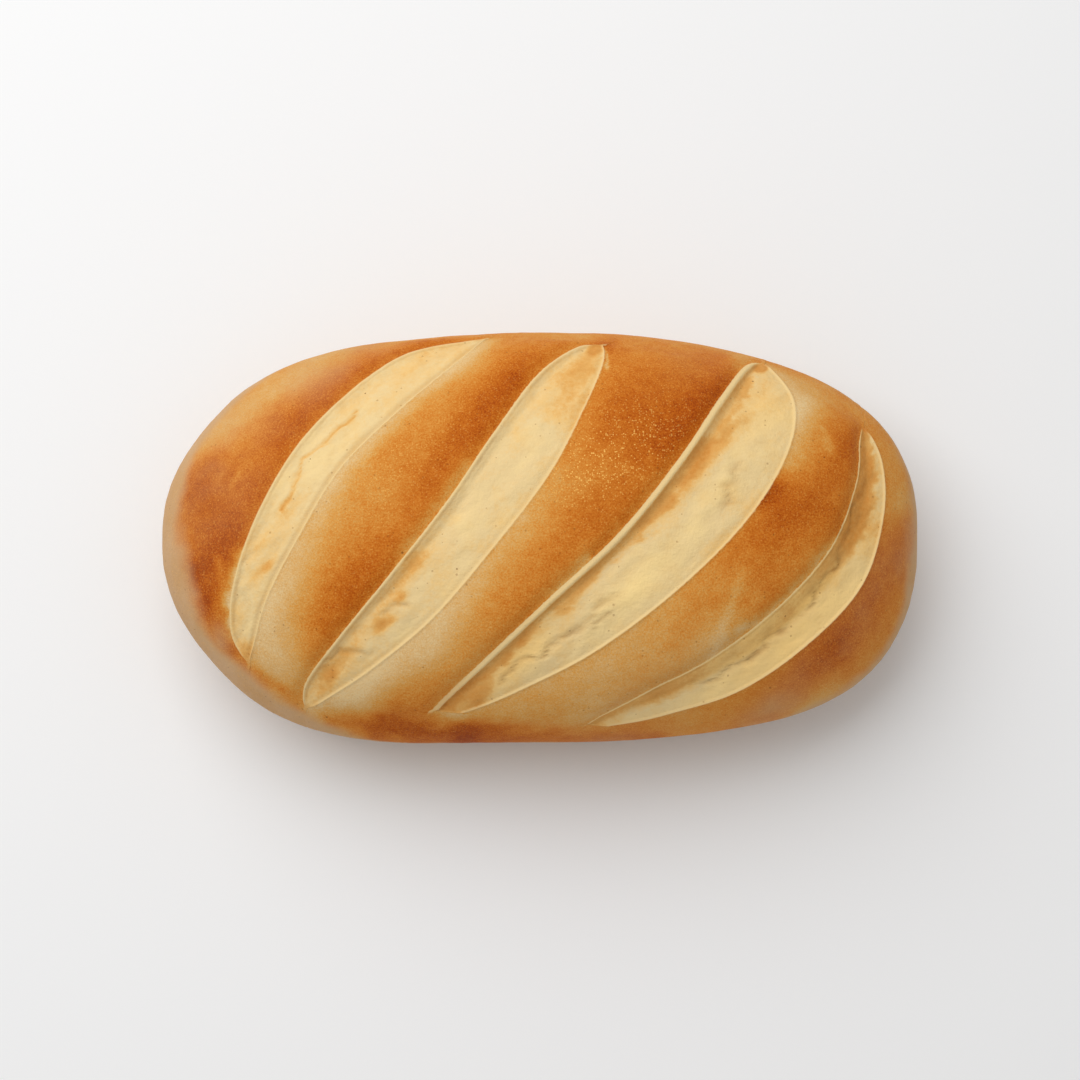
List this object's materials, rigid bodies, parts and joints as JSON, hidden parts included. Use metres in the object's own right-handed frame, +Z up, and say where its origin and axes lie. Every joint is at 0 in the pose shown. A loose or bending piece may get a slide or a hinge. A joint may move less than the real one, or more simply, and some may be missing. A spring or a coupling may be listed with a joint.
{
  "type": "batard loaf",
  "caption": "Short plump white wheat loaf with a golden crust and slanting cuts across its top that have opened to pale crumb.",
  "frame": {"origin": "on the underside, below the middle of the loaf's outline", "axes": "+X along the loaf, +Y across it towards the heads of the cuts, +Z up"},
  "size_m": [0.2626, 0.1432, 0.086],
  "materials": {
    "crust": "matt baked wheat crust, golden brown, with pale cream crumb in the cuts"
  },
  "bodies": {
    "root": {"loaf": "crust"}
  },
  "joints": []
}
